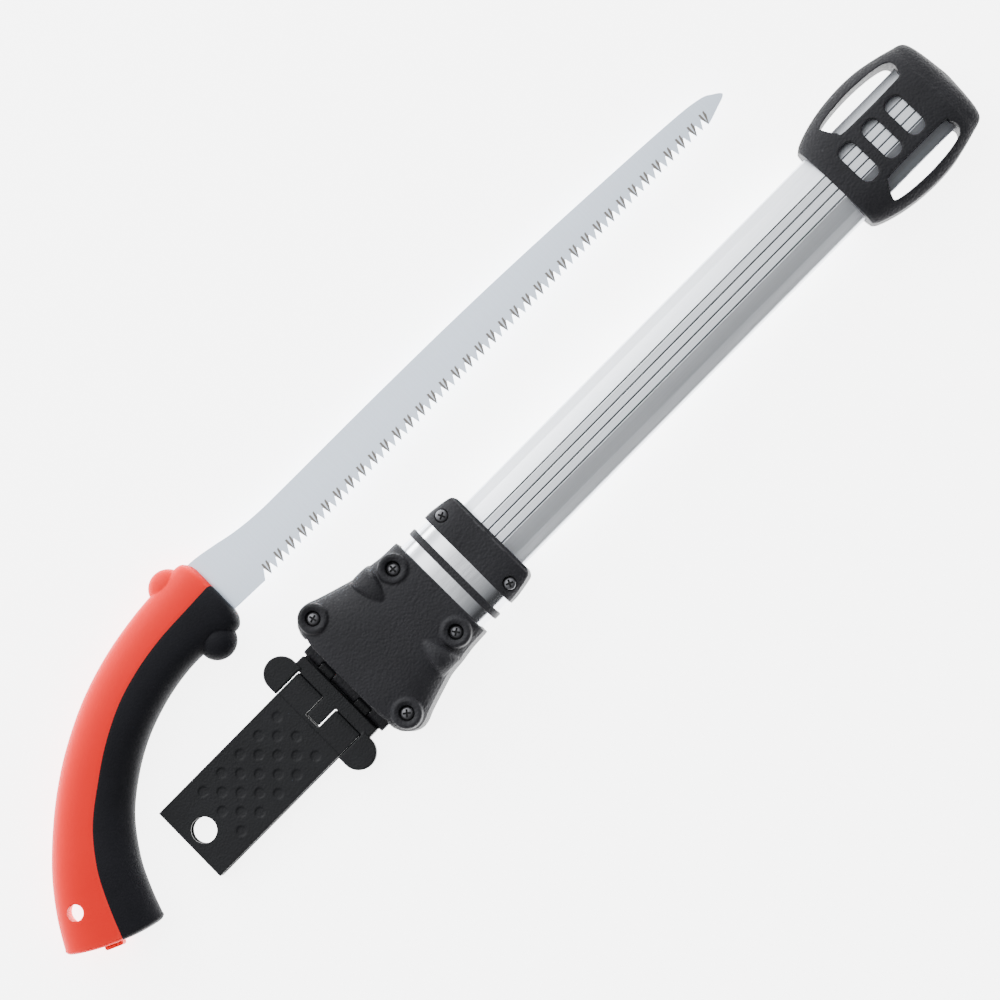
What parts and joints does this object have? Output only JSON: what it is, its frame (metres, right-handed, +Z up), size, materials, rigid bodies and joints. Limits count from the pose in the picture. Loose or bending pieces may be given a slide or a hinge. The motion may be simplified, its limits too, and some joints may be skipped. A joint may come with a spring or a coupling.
{
  "type": "pruning saw with scabbard",
  "caption": "Straight-blade pruning hand saw with a curved two-part pistol grip, beside its aluminium roller-mouth scabbard with a tip cap and an opening belt hanger.",
  "frame": {"origin": "under the middle of the whole set, on the surface that it lies on", "axes": "+X from the grip towards the blade's tip, parallel to blade and scabbard, +Y from the scabbard towards the saw, +Z up from the surface that the set lies on"},
  "size_m": [0.5835, 0.1414, 0.0321],
  "materials": {
    "blade_steel": "polished plate with a light brushed grain",
    "red_core": "satin moulded, red",
    "black_rubber": "soft-touch elastomer, black",
    "black_nylon": "fine leather-grain moulded nylon, black",
    "hanger_plastic": "fine-grained moulded plastic, black",
    "roller_rubber": "moulded rubber, black",
    "screw_steel": "zinc-plated",
    "insert_brass": "turned brass",
    "sleeve_aluminium": "polished",
    "tube_aluminium": "satin anodised extrusion"
  },
  "bodies": {
    "scabbard": {"mouth_front": "black_nylon", "mouth_back": "black_nylon", "roller_screws": "screw_steel", "roller_bushes": "screw_steel", "roller_nuts": "screw_steel", "joint_sleeve": "sleeve_aluminium", "sleeve_ring": "black_nylon", "collar_front": "black_nylon", "collar_back": "black_nylon", "collar_screws": "screw_steel", "collar_nuts": "screw_steel", "scabbard_tube": "tube_aluminium", "tip_cap": "black_nylon", "hanger_pin": "screw_steel"},
    "saw": {"blade": "blade_steel", "handle_core": "red_core", "soft_grip": "black_rubber", "blade_bolts": "screw_steel", "blade_inserts": "insert_brass"},
    "hanger": {"hanger_keeper": "hanger_plastic", "hanger_strap": "hanger_plastic"},
    "hanger_flap": {"hanger_flap": "hanger_plastic"},
    "outer_roller_left": {"outer_roller_left": "roller_rubber"},
    "outer_roller_right": {"outer_roller_right": "roller_rubber"},
    "inner_roller_left": {"inner_roller_left": "roller_rubber"},
    "inner_roller_right": {"inner_roller_right": "roller_rubber"}
  },
  "joints": [
    {"name": "saw_draw", "type": "slide", "parent": "scabbard", "child": "saw", "axis": [-1, 0, 0], "range_m": [0, 0.34]},
    {"name": "hanger_swing", "type": "hinge", "parent": "scabbard", "child": "hanger", "pos_m": [-0.11145, -0.03115, 0.0029], "axis": [0, 1, 0], "range_deg": [0, 60]},
    {"name": "flap_fold", "type": "hinge", "parent": "hanger", "child": "hanger_flap", "pos_m": [-0.21525, -0.03115, 0.0049], "axis": [0, -1, 0], "range_deg": [0, 110]},
    {"name": "outer_left_spin", "type": "hinge", "parent": "scabbard", "child": "outer_roller_left", "pos_m": [-0.09725, -0.00005, 0.016], "axis": [0, 0, 1], "continuous": true},
    {"name": "outer_right_spin", "type": "hinge", "parent": "scabbard", "child": "outer_roller_right", "pos_m": [-0.09725, -0.06225, 0.016], "axis": [0, 0, 1], "continuous": true},
    {"name": "inner_left_spin", "type": "hinge", "parent": "scabbard", "child": "inner_roller_left", "pos_m": [-0.05455, -0.01035, 0.016], "axis": [0, 0, 1], "continuous": true},
    {"name": "inner_right_spin", "type": "hinge", "parent": "scabbard", "child": "inner_roller_right", "pos_m": [-0.05455, -0.05195, 0.016], "axis": [0, 0, 1], "continuous": true}
  ]
}
